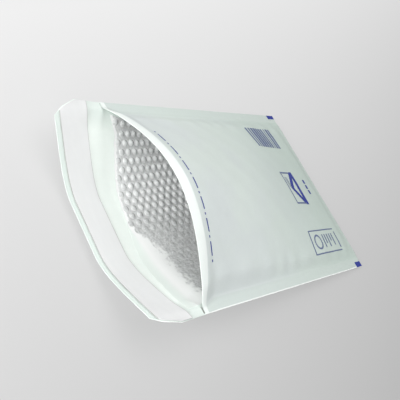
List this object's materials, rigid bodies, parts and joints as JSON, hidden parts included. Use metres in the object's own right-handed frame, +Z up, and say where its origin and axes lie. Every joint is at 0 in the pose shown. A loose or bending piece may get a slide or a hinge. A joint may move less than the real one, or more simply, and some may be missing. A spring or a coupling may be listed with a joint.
{
  "type": "bubble mailer",
  "caption": "White padded mailing envelope lying open, with flat bonded side seams, a bubble film lining and a flap with a peel-off liner over its glue.",
  "frame": {"origin": "on the table, under the middle of the envelope's outline", "axes": "+X across the envelope towards its right side seam as seen from the mouth, +Y from the mouth to the closed end, +Z up"},
  "size_m": [0.2, 0.3208, 0.0703],
  "materials": {
    "paper": "matt white kraft paper with faint calender sheen",
    "film": "glossy translucent polyethylene bubbles on white paper",
    "glue": "tacky hot-melt glue",
    "liner": "smooth coated release paper"
  },
  "bodies": {
    "root": {"paper_pocket": "paper", "bubble_lining": "film", "glue_band": "glue", "release_liner": "liner"}
  },
  "joints": []
}
